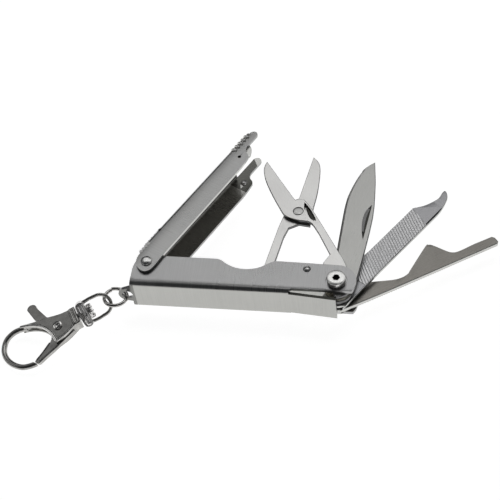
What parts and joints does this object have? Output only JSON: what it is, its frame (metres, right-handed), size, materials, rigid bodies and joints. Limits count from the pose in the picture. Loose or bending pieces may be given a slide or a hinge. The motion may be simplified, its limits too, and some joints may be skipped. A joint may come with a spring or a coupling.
{
  "type": "keychain multi tool",
  "caption": "Folded steel channel with a hinged cover, knife, nail file, bottle opener and scissors on one pivot screw, and a swivel lobster clasp on a ring.",
  "frame": {"origin": "on the main pivot axis, at the flat underside of the pivot nut, level with the surface the tool lies on", "axes": "+X along the body from the clasp's eye to the main pivot, +Y out of the channel's open side, +Z along the main pivot axis towards the screw head"},
  "size_m": [0.1524, 0.091, 0.0158],
  "materials": {
    "body_steel": "brushed across the width",
    "fastener_steel": "satin, turned",
    "blade_steel": "satin, ground edge",
    "tool_steel": "satin with cut teeth",
    "opener_steel": "brushed",
    "scissor_steel": "satin",
    "spring_steel": "plain",
    "brass": "plain",
    "nickel": "polished nickel plate"
  },
  "bodies": {
    "body": {"body_channel": "body_steel", "cover_rivet": "fastener_steel", "pivot_screw": "fastener_steel", "pivot_nut": "fastener_steel", "washer_wall": "brass", "washer_opener": "brass", "washer_file": "brass", "spacer_scissors": "brass"},
    "cover": {"cover_arm": "body_steel"},
    "knife": {"knife_blade": "blade_steel"},
    "file": {"nail_file": "tool_steel"},
    "opener": {"bottle_opener": "opener_steel"},
    "scissors": {"scissor_blade_upper": "scissor_steel", "scissor_rivet": "fastener_steel", "scissor_spring": "spring_steel"},
    "scissor_lower": {"scissor_blade_lower": "scissor_steel"},
    "ring": {"jump_ring": "nickel"},
    "loop": {"swivel_loop": "nickel"},
    "claw": {"claw_body": "nickel", "swivel_post": "nickel", "gate_rivet": "nickel", "gate_spring": "spring_steel"},
    "gate": {"gate_lever": "nickel"}
  },
  "joints": [
    {"name": "cover_swing", "type": "hinge", "parent": "body", "child": "cover", "pos_m": [-0.06, 0.00325, 0.0079], "axis": [0, 0, 1], "range_deg": [-12, 110]},
    {"name": "knife_fold", "type": "hinge", "parent": "body", "child": "knife", "pos_m": [0, 0, 0.00915], "axis": [0, 0, 1], "range_deg": [-82, 93]},
    {"name": "file_fold", "type": "hinge", "parent": "body", "child": "file", "pos_m": [0, 0, 0.007], "axis": [0, 0, 1], "range_deg": [-56, 122]},
    {"name": "opener_fold", "type": "hinge", "parent": "body", "child": "opener", "pos_m": [0, 0, 0.0047], "axis": [0, 0, 1], "range_deg": [-31, 144]},
    {"name": "scissors_fold", "type": "hinge", "parent": "body", "child": "scissors", "pos_m": [0, 0, 0.01185], "axis": [0, 0, 1], "range_deg": [-118, 6]},
    {"name": "scissors_squeeze", "type": "hinge", "parent": "scissors", "child": "scissor_lower", "pos_m": [-0.01517, 0.02817, 0.01125], "axis": [0, 0, 1], "range_deg": [0, 30], "stiffness_Nm_per_rad": 0.02, "springref_deg": -17.19, "deforming": ["scissor_spring"]},
    {"name": "ring_swing", "type": "hinge", "parent": "body", "child": "ring", "pos_m": [-0.0662, -0.00444, 0.0079], "axis": [0, 1, 0], "range_deg": [-60, 95]},
    {"name": "loop_turn", "type": "hinge", "parent": "ring", "child": "loop", "pos_m": [-0.0717, -0.0083, 0.0084], "axis": [0, 0, 1], "range_deg": [-22, 22]},
    {"name": "clasp_swivel", "type": "hinge", "parent": "loop", "child": "claw", "pos_m": [-0.0775, -0.0117, 0.0069], "axis": [-0.8423, -0.5001, -0.2011], "continuous": true},
    {"name": "gate_press", "type": "hinge", "parent": "claw", "child": "gate", "pos_m": [-0.08577, -0.01696, 0.00489], "axis": [-0.1729, -0.1027, 0.9796], "range_deg": [-26, 0], "stiffness_Nm_per_rad": 0.02, "springref_deg": 17.19, "deforming": ["gate_spring"]}
  ]
}
